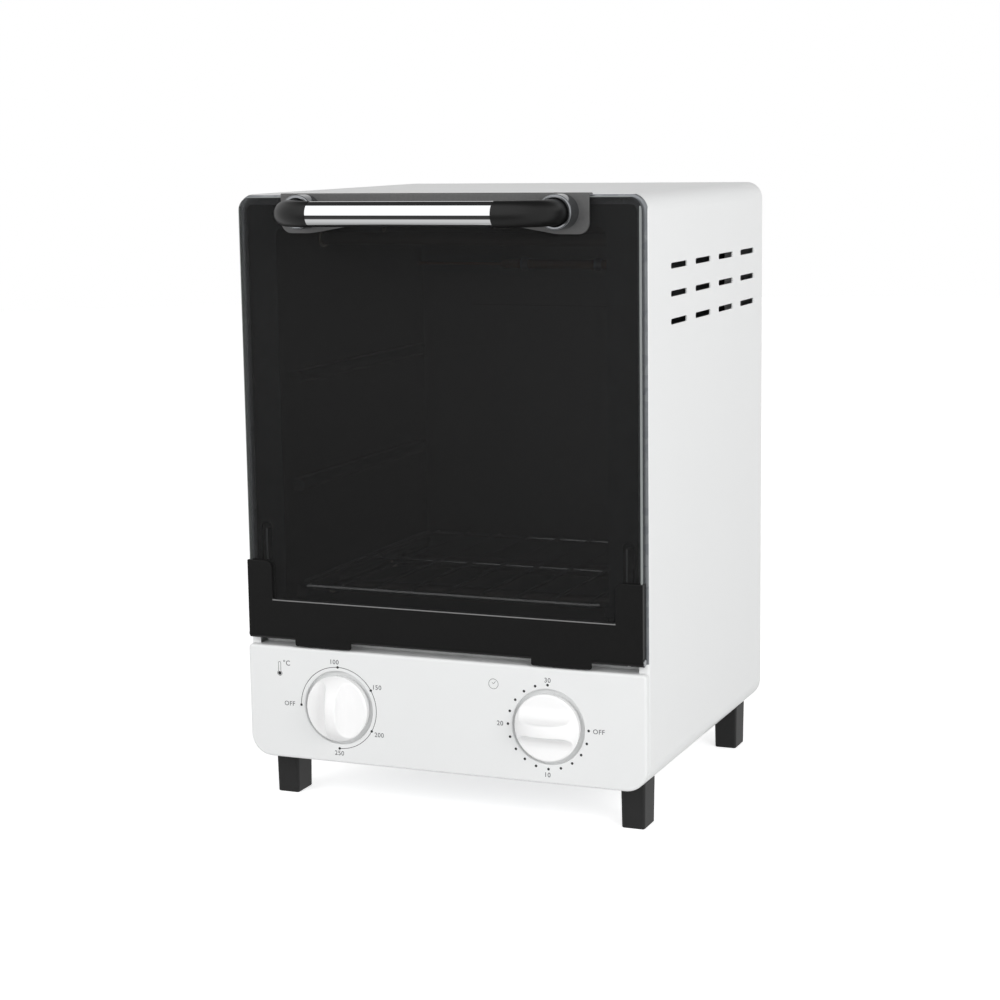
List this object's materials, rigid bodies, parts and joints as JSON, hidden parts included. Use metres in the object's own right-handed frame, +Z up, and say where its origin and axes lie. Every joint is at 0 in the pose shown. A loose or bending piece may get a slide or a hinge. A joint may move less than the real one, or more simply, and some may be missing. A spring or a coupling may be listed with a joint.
{
  "type": "high temperature sterilizer",
  "caption": "Bench dry-heat sterilizer: white steel cabinet on feet, dark glass drop-down door with a bar handle, temperature knob and timer knob below.",
  "frame": {"origin": "on the surface that the feet stand on, in the middle of the whole outline with the handle and the cord gland", "axes": "+Z up, the door and the panel face -Y, +X to the right as seen from the front"},
  "size_m": [0.25, 0.283, 0.3604],
  "materials": {
    "white_enamel_paint": "gloss powder coat",
    "plated_steel": "galvanised",
    "inner_steel": "satin",
    "black_paint": "satin",
    "dark_satin_paint": "grey satin",
    "bright_chrome": "polished",
    "rack_wire": "plated",
    "heater_tube": "heat tinted",
    "ceramic": "unglazed",
    "bulb_copper": "satin",
    "timer_brass": "satin",
    "ivory_plastic": "moulded",
    "foot_plastic": "moulded",
    "screw_zinc": "zinc plated",
    "dark_glass": "dark tint",
    "elbow_black": "moulded",
    "knob_white": "moulded"
  },
  "bodies": {
    "cabinet": {"outer_casing": "white_enamel_paint", "control_panel": "white_enamel_paint", "rear_cover": "white_enamel_paint", "base_plate": "plated_steel", "front_frame": "plated_steel", "cavity_sleeve": "inner_steel", "cavity_back": "inner_steel", "wire_rack": "rack_wire", "heater_lower_front": "heater_tube", "heater_lower_rear": "heater_tube", "heater_upper_front": "heater_tube", "heater_upper_rear": "heater_tube", "heater_bushes": "ceramic", "thermostat_bulb": "bulb_copper", "bulb_clips": "plated_steel", "capillary_tube": "bulb_copper", "thermostat_body": "plated_steel", "timer_case": "timer_brass", "timer_bell": "bright_chrome", "terminal_block": "ivory_plastic", "foot_front_left": "foot_plastic", "foot_front_right": "foot_plastic", "foot_rear_left": "foot_plastic", "foot_rear_right": "foot_plastic", "cord_gland": "foot_plastic", "foot_screws": "screw_zinc", "base_screws": "screw_zinc", "rear_cover_screws": "screw_zinc", "control_screws": "screw_zinc", "hinge_bracket_left": "plated_steel", "hinge_bracket_right": "plated_steel"},
    "door": {"door_glass": "dark_glass", "door_bracket": "black_paint", "handle_plate": "dark_satin_paint", "handle_collar_left": "bright_chrome", "handle_collar_right": "bright_chrome", "handle_elbow_left": "elbow_black", "handle_elbow_right": "elbow_black", "handle_tube": "bright_chrome", "handle_screws": "screw_zinc", "stay_arm_left": "plated_steel", "stay_arm_right": "plated_steel", "hinge_pin_left": "plated_steel", "hinge_pin_right": "plated_steel"},
    "temperature_dial": {"temperature_knob": "knob_white", "temperature_shaft": "plated_steel"},
    "timer_dial": {"timer_knob": "knob_white", "timer_shaft": "plated_steel"}
  },
  "joints": [
    {"name": "door_hinge", "type": "hinge", "parent": "cabinet", "child": "door", "pos_m": [0, -0.09145, 0.1016], "axis": [1, 0, 0], "range_deg": [0, 90], "stiffness_Nm_per_rad": 0.3, "springref_deg": -22.92},
    {"name": "temperature_turn", "type": "hinge", "parent": "cabinet", "child": "temperature_dial", "pos_m": [-0.066, -0.09, 0.0603], "axis": [0, 1, 0], "range_deg": [-90, 180]},
    {"name": "timer_turn", "type": "hinge", "parent": "cabinet", "child": "timer_dial", "pos_m": [0.066, -0.09, 0.0603], "axis": [0, 1, 0], "range_deg": [0, 270]}
  ]
}
